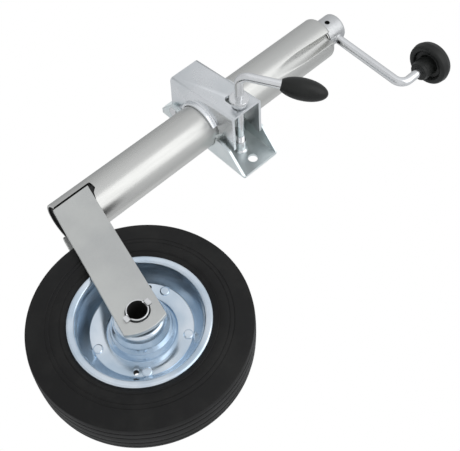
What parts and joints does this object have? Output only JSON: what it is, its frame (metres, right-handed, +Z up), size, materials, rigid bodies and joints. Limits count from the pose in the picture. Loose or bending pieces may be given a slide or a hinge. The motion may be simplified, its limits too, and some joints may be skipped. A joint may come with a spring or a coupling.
{
  "type": "trailer jack wheel",
  "caption": "Telescopic trailer jack with a crank handle, a hinged screw clamp that bolts to a drawbar, and a solid-tyred steel wheel in a flat-bar fork.",
  "frame": {"origin": "middle of the clamp's mounting face, midway between its two bolt holes", "axes": "+Z up the tube towards the crank, +X from the tube to the wheel, +Y out of the mounting face into the drawbar"},
  "size_m": [0.3046, 0.1233, 0.5474],
  "materials": {
    "zinc_tube": "zinc plated, satin",
    "zinc_clamp": "zinc plated, slightly blue",
    "satin_fork": "zinc plated, matt",
    "bright_zinc": "zinc plated, bright",
    "zinc_rim": "blue zinc plated, bright",
    "tyre_rubber": "moulded, matt",
    "black_plastic": "moulded, half gloss"
  },
  "bodies": {
    "base": {"clamp_base": "zinc_clamp", "screw_boss": "zinc_clamp", "hinge_pin": "zinc_clamp"},
    "cap": {"clamp_cap": "zinc_clamp"},
    "screw_slider": {"clamp_washer": "bright_zinc"},
    "screw": {"screw_collar": "bright_zinc", "clamp_screw": "bright_zinc", "clamp_grip": "black_plastic"},
    "tube": {"outer_tube": "zinc_tube", "top_bush": "black_plastic", "thrust_washer": "bright_zinc"},
    "crank": {"lift_spindle": "bright_zinc", "spindle_collar": "bright_zinc", "thrust_race": "bright_zinc", "crank_head": "bright_zinc", "crank_pin": "bright_zinc", "crank_rod": "bright_zinc"},
    "knob": {"crank_knob": "black_plastic"},
    "carriage": {"inner_tube": "zinc_tube", "spindle_nut": "bright_zinc", "fork_leg_front": "satin_fork", "fork_leg_rear": "satin_fork", "axle_tube": "bright_zinc"},
    "wheel": {"tyre": "tyre_rubber", "rim_front": "zinc_rim", "rim_rear": "zinc_rim", "rim_rivets": "zinc_rim", "hub_cup_front": "zinc_rim", "hub_cup_rear": "zinc_rim", "hub_bush": "black_plastic"}
  },
  "joints": [
    {"name": "cap_swing", "type": "hinge", "parent": "base", "child": "cap", "pos_m": [-0.041, -0.018, 0], "axis": [0, 0, -1], "range_deg": [0, 2]},
    {"name": "screw_travel", "type": "slide", "parent": "base", "child": "screw_slider", "axis": [0, -1, 0], "range_m": [0, 0.006]},
    {"name": "screw_turn", "type": "hinge", "parent": "screw_slider", "child": "screw", "pos_m": [0.0355, -0.03, 0], "axis": [0, -1, 0], "range_deg": [0, 1440]},
    {"name": "tube_slide", "type": "slide", "parent": "base", "child": "tube", "axis": [0, 0, 1], "range_m": [-0.06, 0.1]},
    {"name": "crank_turn", "type": "hinge", "parent": "tube", "child": "crank", "pos_m": [0, -0.03, 0.1709], "axis": [0, 0, -1], "range_deg": [0, 13500]},
    {"name": "knob_spin", "type": "hinge", "parent": "crank", "child": "knob", "pos_m": [0.10835, -0.02432, 0.2194], "axis": [0, 0, 1], "continuous": true},
    {"name": "carriage_lift", "type": "slide", "parent": "tube", "child": "carriage", "axis": [0, 0, -1], "range_m": [0, 0.15]},
    {"name": "wheel_spin", "type": "hinge", "parent": "carriage", "child": "wheel", "pos_m": [0.1386, -0.03, -0.219], "axis": [0, 1, 0], "continuous": true}
  ],
  "couplings": [
    {"joint": "screw_travel", "follows": "screw_turn", "m_per_rad": 0.00023873},
    {"joint": "cap_swing", "follows": "screw_turn", "ratio": 0.0013889},
    {"joint": "carriage_lift", "follows": "crank_turn", "m_per_rad": 0.00063662}
  ]
}
